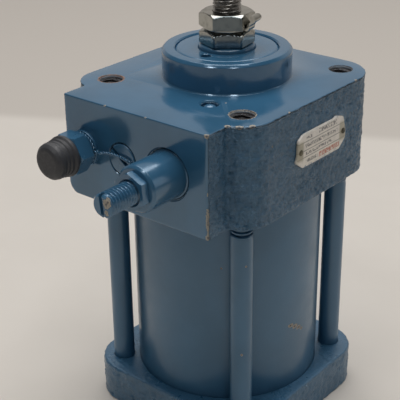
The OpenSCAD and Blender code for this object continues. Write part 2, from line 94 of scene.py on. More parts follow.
PAD = -PAD_Y                      # distance of the pad from the rod axis
CARTRIDGE_END = -CARTRIDGE.low[1]
SCREW_END = -SCREW.low[1]
CAP_END = -CAP.low[1]
NUT_TURN = 39.7                   # degrees at which the rod nuts stand
NUT_AF = 17.0
FITTING_AF = 13.0
LOCK_NUT_AF = 11.5
M8_R, M8_DEPTH = 4.0, 0.62
PITCH = 1.25                      # of all the threads
BUMPER_SEAT = (9.45, 16.05)       # radii of the groove that holds a bumper
TUBE_SEAT = (SPIGOT_R, TUBE_R + 0.1)
WIRE_END = 4.1                    # from the plug's axis to the wire's end in it
CORNERS = [(sx * TIE_AT, sy * TIE_AT) for sx, sy in ((-1, -1), (1, -1), (1, 1), (-1, 1))]


# ---------- shapes: pairs of vertices and faces, in millimetres ----------

def rounded(points, closed=False, steps=3):
    """A polyline of (x, y, radius) points with an arc at each corner that has a radius."""
    out = []
    count = len(points)
    for i, point in enumerate(points):
        here = np.array(point[:2], float)
        radius = point[2] if len(point) > 2 else 0
        if radius == 0 or (not closed and i in (0, count - 1)):
            out.append(tuple(here))
            continue
        a = np.array(points[i - 1][:2], float) - here
        b = np.array(points[(i + 1) % count][:2], float) - here
        la, lb = np.linalg.norm(a), np.linalg.norm(b)
        a, b = a / la, b / lb
        half = math.acos(max(-1, min(1, float(a @ b)))) / 2
        reach = min(radius / math.tan(half), 0.49 * la, 0.49 * lb)
        radius = reach * math.tan(half)
        middle = (a + b) / np.linalg.norm(a + b)
        centre = here + middle * radius / math.sin(half)
        start, end = here + a * reach - centre, here + b * reach - centre
        turn = math.atan2(start[0] * end[1] - start[1] * end[0], float(start @ end))
        for k in range(steps + 1):
            c, s = math.cos(turn * k / steps), math.sin(turn * k / steps)
            out.append((centre[0] + c * start[0] - s * start[1], centre[1] + s * start[0] + c * start[1]))
    return out


def loft(rings, sides=96, closed=False):
    """Rings of (radius, height) about Z, either of them a function of the angle, joined in turn.
    A radius of 0 is a pole. closed joins the last ring to the first."""
    theta = np.arange(sides) * (TURN / sides)
    verts, faces, spans = [], [], []
    for radius, height in rings:
        start = len(verts)
        if not callable(radius) and radius == 0:
            verts.append((0.0, 0.0, float(height)))
            spans.append((start, 1))
            continue
        r = radius(theta) if callable(radius) else np.full(sides, float(radius))
        z = height(theta) if callable(height) else np.full(sides, float(height))
        verts.extend(zip(r * np.cos(theta), r * np.sin(theta), z))
        spans.append((start, sides))
    pairs = list(zip(spans, spans[1:])) + ([(spans[-1], spans[0])] if closed else [])
    for (low, low_n), (high, high_n) in pairs:
        if low_n == high_n == 1:
            continue
        for j in range(sides):
            k = (j + 1) % sides
            if low_n == 1:
                faces.append((low, high + k, high + j))
            elif high_n == 1:
                faces.append((low + j, low + k, high))
            else:
                faces.append((low + j, low + k, high + k, high + j))
    return np.array(verts), faces


def turned(points, sides=96, closed=False, steps=3):
    """A lathe shape from (radius, height, rounding) points."""
    return loft(rounded(points, closed, steps), sides, closed)


def cylinder(radius, low, high, sides=64):
    return turned([(0, low), (radius, low), (radius, high), (0, high)], sides)


def tube_ring(inner, outer, low, high, sides):
    return turned([(inner, low), (outer, low), (outer, high), (inner, high)], sides, closed=True)


def hexagon(across, turn=0.0):
    """Radius of a hexagon across its flats, as a function of the angle; a corner lies at turn degrees."""
    def radius(theta):
        sixth = math.pi / 3
        local = np.mod(theta - math.radians(turn), sixth) - sixth / 2
        return across / 2 / np.cos(local)
    return radius


def hex_nut(across, low, high, hole, turn=0.0, cuts=(1.0, 1.0), sides=180):
    """Rings of a hexagon nut with a turned 30 degree chamfer on its low and its high face."""
    flat = hexagon(across, turn)
    corner = across / math.sqrt(3)
    slope = math.tan(math.radians(30))
    steps = 6
    share = np.arange(steps + 1) / steps
    levels = [(low + cuts[0] * slope * t, corner - cuts[0] * (1 - t)) for t in share]
    levels += [(high - cuts[1] * slope * (1 - t), corner - cuts[1] * t) for t in share]
    rings = [(hole, low + 0.6), (hole + 0.6, low)]
    for z, limit in levels:
        rings.append((lambda t, limit=limit: np.minimum(flat(t), limit), z))
    rings += [(hole + 0.6, high), (hole, high - 0.6)]
    return loft(rings, sides, closed=True)


def thread_radius(outer, depth, pitch, z, phase=0.0):
    """Radius at height z of a screw thread, as a function of the angle."""
    def radius(theta):
        u = np.mod(z / pitch - theta / TURN + phase, 1.0)
        ramp = np.clip((np.abs(u - 0.5) - 0.08) / 0.32, 0, 1)
        return outer - depth * ramp
    return radius


def thread_rings(outer, depth, pitch, low, high, step, phase=0.0, fade=0.8):
    """Rings of a thread from low to high; its groove runs out at both ends."""
    rings = []
    count = int(round((high - low) / step))
    for k in range(count + 1):
        z = low + (high - low) * k / count
        near = min(1, (z - low) / fade, (high - z) / fade)
        rings.append((thread_radius(outer, depth * max(near, 0), pitch, z, phase), z))
    return rings


def merge(*shapes):
    """Several shapes as one."""
    verts, faces, base = [], [], 0
    for v, f in shapes:
        verts.append(np.asarray(v, float))
        faces.extend(tuple(i + base for i in face) for face in f)
        base += len(v)
    return np.concatenate(verts), faces


def moved(shape, x=0.0, y=0.0, z=0.0):
    return np.asarray(shape[0], float) + [x, y, z], shape[1]


def along_y(shape, x):
    """Lays a shape made about Z along -Y, on the port axis at x. Heights count from the rod axis."""
    v = np.asarray(shape[0], float)
    return np.stack([x + v[:, 0], -v[:, 2], PORT_Z + v[:, 1]], axis=1), shape[1]


def slab(rows):
    """A closed solid from outlines with equal numbers of points, from the lowest to the highest."""
    n = len(rows[0])
    verts = np.concatenate(rows)
    faces = [tuple(range(n))[::-1]]
    for i in range(len(rows) - 1):
        a, b = i * n, (i + 1) * n
        faces.extend((a + j, a + (j + 1) % n, b + (j + 1) % n, b + j) for j in range(n))
    faces.append(tuple(range(len(verts) - n, len(verts))))
    return verts, faces


def block(x0, x1, y0, y1, z0, z1):
    """A box between two corners."""
    corners = [(x0, y0), (x1, y0), (x1, y1), (x0, y1)]
    return slab([np.array([(x, y, z) for x, y in corners]) for z in (z0, z1)])


def spun(shape, degrees):
    """Turns a shape about Z."""
    c, s = math.cos(math.radians(degrees)), math.sin(math.radians(degrees))
    v = np.asarray(shape[0], float)
    return np.stack([c * v[:, 0] - s * v[:, 1], s * v[:, 0] + c * v[:, 1], v[:, 2]], axis=1), shape[1]


def smooth_path(points, count):
    """Points evenly along a Catmull-Rom curve through the given points."""
    p = np.array(points, float)
    p = np.concatenate([[2 * p[0] - p[1]], p, [2 * p[-1] - p[-2]]])
    fine = []
    for i in range(1, len(p) - 2):
        for t in np.linspace(0, 1, 12, endpoint=False):
            a, b, c, d = p[i - 1:i + 3]
            fine.append(0.5 * (2 * b + (c - a) * t + (2 * a - 5 * b + 4 * c - d) * t * t
                               + (3 * b - a - 3 * c + d) * t ** 3))
    fine.append(p[-2])
    fine = np.array(fine)
    s = np.concatenate([[0], np.cumsum(np.linalg.norm(np.diff(fine, axis=0), axis=1))])
    at = np.linspace(0, s[-1], count)
    return np.stack([np.interp(at, s, fine[:, k]) for k in range(3)], axis=1)


def path_frames(path):
    """Two directions across a path, carried along it without twist."""
    d = np.gradient(path, axis=0)
    d /= np.linalg.norm(d, axis=1)[:, None]
    side = np.cross(d[0], [0.3, 0.2, 1.0])
    sides = []
    for k in d:
        side = side - k * (side @ k)
        side /= np.linalg.norm(side)
        sides.append(side)
    sides = np.array(sides)
    return sides, np.cross(d, sides)


def strand(path, radius, offset=0.0, pitch=2.2, phase=0.0, sides=10):
    """A round wire along a path, or wound round it at an offset."""
    u, v = path_frames(path)
    s = np.concatenate([[0], np.cumsum(np.linalg.norm(np.diff(path, axis=0), axis=1))])
    angle = (TURN * s / pitch + phase)[:, None]
    line = path + offset * (np.cos(angle) * u + np.sin(angle) * v)
    u, v = path_frames(line)
    around = TURN * np.arange(sides) / sides
    rows = [line[i] + radius * (np.cos(around)[:, None] * u[i] + np.sin(around)[:, None] * v[i])
            for i in range(len(line))]
    return slab(rows)


# ---------- Blender objects ----------

def make(name, shape):
    """A Blender object from a shape, with its normals outwards."""
    verts, faces = shape
    mesh = bpy.data.meshes.new(name)
    mesh.from_pydata((np.asarray(verts) * MM).tolist(), [], faces)
    edit = bmesh.new()
    edit.from_mesh(mesh)
    bmesh.ops.recalc_face_normals(edit, faces=edit.faces)
    edit.to_mesh(mesh)
    edit.free()
    piece = bpy.data.objects.new(name, mesh)
    bpy.context.scene.collection.objects.link(piece)
    return piece


def combine(piece, shape, operation="DIFFERENCE"):
    """An exact boolean of a piece with a shape, applied to its mesh."""
    tool = make("tool", shape)
    modifier = piece.modifiers.new("combine", "BOOLEAN")
    modifier.operation = operation
    modifier.solver = "EXACT"
    modifier.object = tool
    scene_state = bpy.context.evaluated_depsgraph_get()
    mesh = bpy.data.meshes.new_from_object(piece.evaluated_get(scene_state))
    piece.modifiers.clear()
    piece.data = mesh
    bpy.data.objects.remove(tool)


def place(piece, material, body, slot, *replaced, angle=32):
    """Shades a piece smooth up to an angle, gives it its material and ties it to its body."""
    mesh = piece.data
    mesh.materials.clear()
    mesh.materials.append(material)
    mesh.shade_smooth()
    mesh.set_sharp_from_angle(angle=math.radians(angle))
    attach(piece, body)
    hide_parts(*replaced)


def paint(piece, material, node, angle=32):
    """Places a plain painted piece of the housing."""
    place(piece, material, "housing", "blue_paint", node, angle=angle)


# ---------- materials ----------

class Shader:
    """A material's node tree, with short calls for the nodes used here."""

    def __init__(self, name):
        self.material = bpy.data.materials.new(name)
        self.material.use_nodes = True
        self.tree = self.material.node_tree
        self.surface = self.tree.nodes["Principled BSDF"]
        coords = self.node("TexCoord", output="Object")
        # position in millimetres
        self.at = self.node("VectorMath", {0: coords, "Scale": 1 / MM}, operation="SCALE")
        self.x, self.y, self.z = (self.node("SeparateXYZ", {0: self.at}, output=k) for k in range(3))

    def put(self, socket, value):
        if isinstance(value, bpy.types.NodeSocket):
            self.tree.links.new(value, socket)
        elif isinstance(value, (tuple, list)) and len(value) == 3 and socket.type == "RGBA":
            socket.default_value = (*value, 1)
        else:
            socket.default_value = value

    def node(self, kind, inputs=(), output=0, **settings):
        made = self.tree.nodes.new("ShaderNode" + kind)
        for key, value in settings.items():
            setattr(made, key, value)
        for key, value in dict(inputs).items():
            self.put(made.inputs[key], value)
        return made.outputs[output]

    def math(self, operation, a, b=0.0, c=0.0):
        return self.node("Math", {0: a, 1: b, 2: c}, operation=operation)

    def times(self, a, b):
        return self.math("MULTIPLY", a, b)

    def from_axis(self, x=0.0, y=0.0):
        """Distance from an upright axis."""
        dx = self.math("SUBTRACT", self.x, x)
        dy = self.math("SUBTRACT", self.y, y)
        return self.math("SQRT", self.math("ADD", self.times(dx, dx), self.times(dy, dy)))

    def stretched(self, x, y, z):
        return self.node("VectorMath", {0: self.at, 1: (x, y, z)}, operation="MULTIPLY")

    def noise(self, scale, detail=3.0, roughness=0.5, at=None):
        return self.node("TexNoise", {"Vector": at or self.at, "Scale": scale, "Detail": detail,
                                      "Roughness": roughness})

    def fit(self, value, low, high, to_low=0.0, to_high=1.0):
        return self.node("MapRange", {0: value, 1: low, 2: high, 3: to_low, 4: to_high},
                         interpolation_type="SMOOTHSTEP")

    def mix(self, factor, a, b):
        return self.node("Mix", {0: factor, 6: a, 7: b}, output=2, data_type="RGBA")

    def spots(self, places, wobble=0.8):
        """How far out of the nearest ragged spot a point is: under 1 inside. The places are
        (x, y, z, radius, tallness), and a spot reaches radius times tallness along Z."""
        ragged = self.noise(1.3, 5, 0.65)
        nearest = None
        for x, y, z, radius, tall in places:
            away = self.node("VectorMath", {0: self.at, 1: (x, y, z)}, operation="SUBTRACT")
            scaled = self.node("VectorMath", {0: away, 1: (1 / radius, 1 / radius, 1 / radius / tall)},
                               operation="MULTIPLY")
            share = self.node("VectorMath", {0: scaled}, output=1, operation="LENGTH")
            nearest = share if nearest is None else self.math("MINIMUM", nearest, share)
        jag = self.math("MULTIPLY_ADD", ragged, wobble * 2, -wobble)
        return self.math("ADD", nearest, jag)

    def bump(self, height, distance, strength=1.0):
        """Adds a bump in millimetres to the surface, on top of any bump before it."""
        inputs = {"Height": height, "Distance": distance * MM, "Strength": strength}
        before = self.surface.inputs["Normal"]
        if before.is_linked:
            inputs["Normal"] = before.links[0].from_socket
        self.put(before, self.node("Bump", inputs))

    def set(self, **values):
        for key, value in values.items():
            self.put(self.surface.inputs[key.replace("_", " ").title().replace("Ior", "IOR")], value)


ENAMEL = (0.036, 0.122, 0.222)
ENAMEL_DARK = (0.030, 0.104, 0.190)
# colour of the painted shade of pits on the cast faces
ENAMEL_PIT_SHADE = (0.012, 0.040, 0.072)
PRIMER = (0.42, 0.35, 0.25)
BARE = (0.075, 0.055, 0.045)
RUST_BRIGHT = (0.24, 0.10, 0.045)
GRIME = (0.030, 0.032, 0.034)


def everywhere(s):
    return 1.0


def enamel(name, roughness=0.30, cast=0.0, cast_where=everywhere, machined=0.0, chips_and_glints=(), rust=None,
           peel=0.012):
    """Blue enamel. cast is the depth of its casting texture in millimetres and cast_where the mask of the
    cast faces, which also get painted pit shade; the others have the roughness machined. The chip places
    are where it has come off, and one of the head's is a painted highlight; rust gives a mask and a colour
    for rusty places without paint."""
    s = Shader(name)
    shade = s.noise(0.045, 3, 0.55)
    colour = s.mix(s.fit(shade, 0.35, 0.65), ENAMEL_DARK, ENAMEL)
    dust = s.fit(s.noise(1.6, 4, 0.65), 0.60, 0.78)
    colour = s.mix(s.times(dust, 0.12), colour, (0.16, 0.19, 0.22))
    rough = s.fit(s.noise(0.16, 4, 0.6), 0.3, 0.7, roughness - 0.04, roughness + 0.07)
    if cast:
        where = cast_where(s)
        if machined:
            rough = s.math("ADD", s.times(where, rough),
                           s.times(s.math("SUBTRACT", 1.0, where), machined))
        # darker spots on the cast faces: painted shade of pits in the casting
        painted_pit_shade = s.times(s.fit(s.noise(1.1, 4, 0.7), 0.47, 0.34), where)
        colour = s.mix(s.times(painted_pit_shade, 0.6), colour, ENAMEL_PIT_SHADE)
    if chips_and_glints:
        # chip spots show primer and steel; the head's tiny spot at (18.2, -23.8) is a painted highlight
        reach = s.spots(chips_and_glints)
        bare_and_glint = s.fit(reach, 1.0, 0.86)
        under = s.mix(s.fit(s.noise(1.7, 4, 0.65), 0.40, 0.60), PRIMER, (0.30, 0.26, 0.20))
        under = s.mix(s.fit(reach, 0.55, 0.30), under, BARE)
        colour = s.mix(bare_and_glint, colour, under)
        rough = s.math("MULTIPLY_ADD", bare_and_glint, 0.35, rough)
    if rust:
        brown, tint = rust(s)
        mottled = s.mix(s.fit(s.noise(1.3, 4, 0.7), 0.4, 0.62), BARE, tint)
        colour = s.mix(brown, colour, mottled)
        rough = s.math("MULTIPLY_ADD", brown, 0.4, rough)
    s.set(base_color=colour, roughness=rough, ior=1.95, coat_weight=0.2, coat_roughness=0.1,
          specular_tint=(0.6, 0.8, 1.0))
    if cast:
        grain = s.noise(0.85, 4, 0.7)
        creases = s.noise(0.55, 4, 0.6, at=s.stretched(0.45, 0.8, 1.5))
        s.bump(s.times(grain, where), cast)
        s.bump(s.times(creases, where), cast * 1.4)
    s.bump(s.noise(1.1, 2, 0.5), peel)
    if chips_and_glints:
        s.bump(bare_and_glint, -0.12)
    return s.material


def metal(name, base, roughness, stain=0.3, stain_colour=GRIME, scratch=(1.5, 1.5, 1.5),
          scratch_depth=0.01):
    """Bare metal with stains and fine tool marks. scratch stretches the marks along X, Y and Z."""
    s = Shader(name)
    patches = s.fit(s.noise(0.35, 5, 0.65), 0.42, 0.68)
    colour = s.mix(s.times(patches, stain), base, stain_colour)
    marks = s.noise(1.0, 4, 0.6, at=s.stretched(*scratch))
    rough = s.math("MULTIPLY_ADD", marks, 0.16, roughness - 0.08)
    rough = s.math("MULTIPLY_ADD", patches, stain * 0.3, rough)
    s.set(base_color=colour, metallic=1.0, roughness=rough)
    s.bump(marks, scratch_depth)
    return s.material


def nut_zinc():
    """Zinc of the rod nuts, with painted shade and a painted bluish reflection on the flat that faces the
    camera, towards the pad's right corner.
    """
    s = Shader("zinc_nuts")
    patches = s.fit(s.noise(0.35, 5, 0.65), 0.42, 0.68)
    flat_turn = math.radians(NUT_TURN - 90)
    towards = s.math("ADD", s.times(s.x, math.cos(flat_turn)), s.times(s.y, math.sin(flat_turn)))
    # painted shade and a painted bluish reflection on the flat that faces the camera
    painted_front_flat_shade = s.fit(towards, 7.9, 8.4)
    colour = s.mix(s.times(patches, 0.35), (0.40, 0.40, 0.37), (0.12, 0.11, 0.09))
    colour = s.mix(s.times(painted_front_flat_shade, 0.85), colour, (0.105, 0.135, 0.155))
    s.set(base_color=colour, metallic=1.0, roughness=s.math("MULTIPLY_ADD", patches, 0.12, 0.13))
    s.bump(s.noise(1.0, 4, 0.6, at=s.stretched(0.4, 0.4, 1.5)), 0.001)
    return s.material


def rubber(name):
    """Black rubber with dust on it."""
    s = Shader(name)
    dust = s.fit(s.noise(0.8, 5, 0.7), 0.45, 0.75)
    s.set(base_color=s.mix(s.times(dust, 0.35), (0.012, 0.012, 0.014), (0.06, 0.062, 0.065)),
          roughness=s.fit(s.noise(0.5, 3), 0.3, 0.7, 0.42, 0.58))
    s.bump(s.noise(2.2, 3, 0.6), 0.02)
    return s.material


def plastic(name):
    """Black plastic, scuffed along its ribs."""
    s = Shader(name)
    scuffs = s.fit(s.noise(0.7, 5, 0.7, at=s.stretched(1, 0.4, 1)), 0.55, 0.75)
    s.set(base_color=s.mix(s.times(scuffs, 0.5), (0.042, 0.044, 0.050), (0.085, 0.088, 0.097)),
          roughness=s.fit(s.noise(0.9, 4), 0.3, 0.7, 0.40, 0.62))
    s.bump(s.noise(1.8, 4, 0.6), 0.03)
    return s.material


def soft_metal(name, base, roughness):
    return metal(name, base, roughness, stain=0.25, stain_colour=(0.12, 0.08, 0.05), scratch=(0.3, 0.3, 4))


FLOOR_LINE = (math.cos(math.radians(118.56)), math.sin(math.radians(118.56)))
FLOOR_LINE_AT = 270       # the line's distance from the rod axis


def floor_material():
    """Pale floor, a little darker beyond a soft line behind the object."""
    s = Shader("floor_pale")
    beyond = s.math("ADD", s.times(s.x, FLOOR_LINE[0]), s.times(s.y, FLOOR_LINE[1]))
    tone = s.fit(beyond, FLOOR_LINE_AT - 8, FLOOR_LINE_AT + 8)
    grain = s.noise(0.02, 4, 0.6)
    near = s.mix(s.fit(grain, 0.3, 0.7), (0.640, 0.605, 0.560), (0.655, 0.620, 0.575))
    s.set(base_color=s.mix(tone, near, (0.53, 0.495, 0.455)), roughness=0.75, specular_ior_level=0.2)
    s.bump(s.noise(0.4, 3), 0.01)
    return s.material


# Ring of broken paint round each tapped hole: its radius and the colour that shows
HOLE_RINGS = [(4.85, RUST_BRIGHT), (4.65, PRIMER), (4.35, BARE), (4.35, BARE)]


def head_rust_and_hole_shade(s):
    """Rusty holes, near-black brown below their mouths as rust with painted shade, and a ragged ring of
    broken paint round their mouths.
    """
    ragged = s.math("MULTIPLY_ADD", s.noise(1.5, 4, 0.65), 1.5, -0.75)
    mask, tint = 0.0, PRIMER
    for (x, y), (reach, colour) in zip(CORNERS, HOLE_RINGS):
        away = s.from_axis(x, y)
        near = s.fit(s.math("ADD", away, ragged), reach + 0.1, reach - 0.1)
        mask = s.math("MAXIMUM", mask, near)
        tint = s.mix(s.math("LESS_THAN", away, 8.0), tint, colour)
    # below the mouths the walls of the holes go near-black brown: rust colour with painted shade inside the
    # hole
    tint = s.mix(s.fit(s.z, HEAD_TOP - 0.25, HEAD_TOP - 0.7), tint, (0.05, 0.032, 0.022))
    above = s.fit(s.z, HEAD_TOP - 20, HEAD_TOP - 18)
    return s.times(mask, above), tint


def head_walls(s):
    """1 on the head's cast walls, 0 on its machined top and pad."""
    below_top = s.fit(s.z, HEAD_TOP - 0.2, HEAD_TOP - 0.9)
    return s.times(below_top, s.fit(s.y, PAD_Y + 0.3, PAD_Y + 1.2))


def painted_wiper():
    """Rubber with the gland's enamel over its outer part."""
    s = Shader("wiper_painted")
    ragged = s.math("MULTIPLY_ADD", s.noise(0.8, 4, 0.6), 1.2, s.from_axis())
    painted = s.fit(ragged, WIPER_R - 1.9, WIPER_R - 1.5)
    s.set(base_color=s.mix(painted, (0.016, 0.016, 0.018), ENAMEL_DARK), roughness=0.2, ior=1.6)
    s.bump(s.noise(1.4, 3, 0.5), 0.02)
    return s.material


def filled_ptfe():
    s = Shader("ptfe_filled")
    flecks = s.fit(s.noise(3.0, 2, 0.5), 0.55, 0.7)
    s.set(base_color=s.mix(flecks, (0.30, 0.17, 0.09), (0.50, 0.34, 0.20)), roughness=0.5)
    s.bump(s.noise(2.0, 3), 0.01)
    return s.material


# Outline about the middle, along Y and Z: two ears, and two corners cut off
PLATE_OUTLINE = [
    (-14.3, 4.5, 1), (-11.5, 6.1, 1), (6.7, 6.1, 0.3), (8.3, 6.7, 0.5), (13, 5.3, 1), (14.8, -0.4, 3),
    (14.7, -3, 1), (10.8, -6.2, 1), (-11.4, -6, 1), (-15.6, -3, 1), (-14.6, -0.8, 1)]
RIVET_AT = 12.85


def label_material():
    """Printed aluminium: thin rules, unlettered marks and one red band. Y runs along it and Z across."""
    s = Shader("label_printed")
    u = s.math("SUBTRACT", s.y, PLATE.middle[1])
    v = s.math("SUBTRACT", s.z, PLATE.middle[2])

    def bar(u0, u1, v0, v1, soft=0.08):
        """1 inside a rectangle of the plate."""
        inside = None
        for value, low, high in ((u, u0, u1), (v, v0, v1)):
            part = s.times(s.fit(value, low - soft, low + soft),
                          s.fit(value, high + soft, high - soft))
            inside = part if inside is None else s.times(inside, part)
        return inside

    base = s.mix(s.fit(s.noise(0.5, 4, 0.6), 0.35, 0.7), (0.86, 0.82, 0.76), (0.72, 0.69, 0.64))
    marks = 0.0
    for v0 in (2.75, -0.35, -2.75):
        marks = s.math("MAXIMUM", marks, bar(-14.5, 14.5, v0, v0 + 0.25))
    dashes = s.fit(s.noise(1.0, 1, 0.6, at=s.stretched(0, 1.5, 0.9)), 0.46, 0.52)
    for u0, u1, v0, v1 in ((-9.5, -5.5, 3.6, 4.6), (-2.0, 9.0, 3.7, 5.4), (-10.0, 9.5, 0.7, 2.0),
                           (-9.5, 6.5, -2.0, -0.9), (-9.5, -2.5, -4.8, -3.6)):
        marks = s.math("MAXIMUM", marks, s.times(bar(u0, u1, v0, v1), dashes))
    colour = s.mix(s.times(marks, 0.75), base, (0.06, 0.06, 0.07))
    ticks = s.fit(s.noise(1.0, 1, 0.6, at=s.stretched(0, 1.9, 0.8)), 0.40, 0.48)
    red = s.times(bar(-1.5, 11.0, -5.2, -3.4), ticks)
    colour = s.mix(s.times(red, 0.85), colour, (0.48, 0.105, 0.05))
    for side in (-1, 1):
        around = s.math("ABSOLUTE", s.math("SUBTRACT", u, side * RIVET_AT))
        stain = s.times(s.fit(around, 2.4, 1.4), s.fit(s.math("ABSOLUTE", v), 4.2, 2.6))
        colour = s.mix(s.times(stain, 0.7), colour, (0.33, 0.31, 0.21))
    rim = s.fit(s.noise(0.8, 4, 0.6), 0.54, 0.68)
    edge = s.math("SUBTRACT", 1.0, bar(-14.0, 14.0, -5.5, 5.6, 0.5))
    colour = s.mix(s.times(s.times(rim, edge), 0.8), colour, ENAMEL)
    s.set(base_color=colour, metallic=0.15, roughness=s.fit(s.noise(0.6, 4), 0.3, 0.7, 0.34, 0.52))
    s.bump(s.noise(0.35, 3), 0.03)
    return s.material


# Places where the paint has come off: x, y, z, radius and tallness. The head's spot at (18.2, -23.8, 129.5)
# is a painted highlight drawn as a tiny chip.
HEAD_CHIPS_AND_GLINT = [
    (34.9, -38.4, 129.4, 1.5, 0.6), (31.4, -39.9, 129.4, 1.0, 0.6), (37.6, -35.2, 129.3, 1.2, 0.6),
    (31.3, -49.9, 129.2, 1.1, 0.9), (31.5, -49.9, 99.8, 0.9, 5.5), (31.5, -49.9, 94.2, 1.1, 1.2),
    (31.5, -49.9, 109.5, 0.4, 3.0), (40.0, 22.0, 129.4, 0.8, 0.6), (40.0, -18.0, 129.4, 0.7, 0.6),
    # (18.2, -23.8, 129.5) is a painted highlight, not lost paint
    (39.3, -27.0, 120.5, 0.5, 1.0), (-31.5, -49.9, 129.2, 0.6, 1.0), (18.2, -23.8, 129.5, 0.4, 1.0),
    (-12.0, -49.9, 129.4, 0.5, 0.6), (6.0, -49.9, 129.4, 0.4, 0.6),
]
TUBE_CHIPS = [(34.4, -6.0, 41.0, 1.4, 0.6), (34.7, -3.8, 39.8, 1.5, 0.6), (34.9, -1.5, 38.3, 1.4, 0.6),
              (35.0, 0.2, 37.0, 1.0, 0.6), (20.0, -28.8, 70.0, 0.4, 1.0)]
TIE_CHIPS = [(-32.0, -31.5, 42.0, 0.7, 1.0), (31.6, -32.0, 40.5, 0.5, 1.0), (32.5, -31.0, 76.0, 0.4, 1.0)]

paint_head = enamel("enamel_head", roughness=0.24, cast=0.85, cast_where=head_walls, machined=0.14,
                    chips_and_glints=HEAD_CHIPS_AND_GLINT, rust=head_rust_and_hole_shade)
paint_cover = enamel("enamel_cover", roughness=0.30, cast=0.22, chips_and_glints=[(-33.0, -38.0, 14.8, 0.8, 0.6)])
paint_tube = enamel("enamel_tube", roughness=0.32, chips_and_glints=TUBE_CHIPS, peel=0.02)
paint_tie = enamel("enamel_tie", roughness=0.32, chips_and_glints=TIE_CHIPS, peel=0.02)
paint_gland = enamel("enamel_gland", roughness=0.18)
paint_small = enamel("enamel_small", roughness=0.22)
paint_worn = enamel("enamel_worn", roughness=0.20, chips_and_glints=[
    (VALVE_X + 2.1, -SCREW_END + 0.4, PORT_Z + 1.4, 1.5, 1.3),
    (VALVE_X + 2.0, -SCREW_END + 0.4, PORT_Z - 1.6, 0.9, 1.3)])
paint_wire = enamel("enamel_wire", roughness=0.20)
zinc = metal("zinc_dull", (0.34, 0.36, 0.35), 0.14, stain=0.3, scratch=(0.4, 0.4, 1.5), scratch_depth=0.001)
zinc_nuts = nut_zinc()
thread_steel = metal("thread_steel", (0.32, 0.31, 0.295), 0.34, stain=0.5, scratch_depth=0.004)
chrome = metal("chrome_ground", (0.66, 0.66, 0.66), 0.14, stain=0.06, scratch=(3, 3, 0.3),
               scratch_depth=0.003)
machined = metal("steel_turned", (0.52, 0.52, 0.53), 0.30, stain=0.2, scratch=(0.4, 0.4, 5))
black_rubber = rubber("rubber_nitrile")
black_plastic = plastic("plastic_cap")
bronze = soft_metal("bronze_sintered", (0.50, 0.31, 0.15), 0.42)
brass = soft_metal("brass_turned", (0.72, 0.53, 0.24), 0.28)
rivet_metal = metal("rivet_aluminium", (0.16, 0.15, 0.11), 0.45, stain=0.7)
label = label_material()
paint_wiper = painted_wiper()
ptfe = filled_ptfe()


# ---------- head ----------

EDGE = 0.7       # fillet of the pad's edges
COVE = 1.0       # fillet where the pad's sides meet the corner arcs
TOP_ROUND = 0.35
PAD_LOW_R = 4.5  # the pad's lower left corner


def line(a, b, normal, count):
    """Points and normals from a up to b, without b."""
    t = (np.arange(count) / count)[:, None]
    points = np.array(a, float) * (1 - t) + np.array(b, float) * t
    return points, np.tile(np.array(normal, float), (count, 1))


def arc(centre, radius, start, end, count, inward=False):
    """Points and normals of an arc from start to end in degrees, without its end."""
    a = np.radians(start + (end - start) * np.arange(count) / count)
    direction = np.stack([np.cos(a), np.sin(a)], axis=1)
    return np.array(centre, float) + radius * direction, -direction if inward else direction


def head_outline(pad_left):
    """Points, outward normals and cast weights of the head's outline, anticlockwise from the pad."""
    half, back = HEAD_HALF, HEAD_BACK
    c = half - FRONT_R
    cy = -(half - FRONT_R)
    reach = FRONT_R + COVE

    def cove(pad_x):
        """Centre of the cove beside the pad and its direction from the corner's centre."""
        dx = pad_x + COVE - c
        dy = -math.sqrt(reach * reach - dx * dx)
        return (c + dx, cy + dy), math.degrees(math.atan2(dy, dx))

    right, right_angle = cove(PAD_HALF)
    left, left_angle = cove(-pad_left)
    left = (-left[0], left[1])
    left_angle = 180 - left_angle
    b, by = half - BACK_R, back - BACK_R
    parts = [
        (line((pad_left + EDGE, PAD_Y), (PAD_HALF - EDGE, PAD_Y), (0, -1), 70), 0),
        (arc((PAD_HALF - EDGE, PAD_Y + EDGE), EDGE, -90, 0, 5), 0.15),
        (line((PAD_HALF, PAD_Y + EDGE), (PAD_HALF, right[1]), (1, 0), 14), 0.8),
        (arc(right, COVE, 180, 180 + right_angle, 5, True), 1),
        (arc((c, cy), FRONT_R, right_angle, 0, 26), 1),
        (line((half, cy), (half, by), (1, 0), 84), 1),
        (arc((b, by), BACK_R, 0, 90, 30), 1),
        (line((b, back), (-b, back), (0, 1), 76), 1),
        (arc((-b, by), BACK_R, 90, 180, 30), 1),
        (line((-half, by), (-half, cy), (-1, 0), 84), 1),
        (arc((-c, cy), FRONT_R, 180, left_angle, 26), 1),
        (arc(left, COVE, left_angle - 180, 0, 5, True), 1),
        (line((pad_left, left[1]), (pad_left, PAD_Y + EDGE), (-1, 0), 14), 0.8),
        (arc((pad_left + EDGE, PAD_Y + EDGE), EDGE, 180, 270, 5), 0.15),
    ]
    points = np.concatenate([p for (p, _), _ in parts])
    normals = np.concatenate([n for (_, n), _ in parts])
    weights = np.concatenate([np.full(len(p), w) for (p, _), w in parts])
    return points, normals, weights


def cast_depth(x, y, z, seed=0.0):
    """Depth of a sand casting's surface below its nominal face, in millimetres, from 0 to about 0.7."""
    p = Vector((x * 0.9, y * 0.9, z * 1.35 + 0.35 * y + seed))
    broad = noise.noise(p * 0.16)
    wrinkle = 1 - abs(noise.noise(p * 0.42) * 1.9)
    grain = noise.fractal(p * 0.9, 0.9, 2.1, 3)
    return max(0.0, 0.34 + 0.20 * broad + 0.40 * (0.6 - wrinkle) + 0.28 * grain)


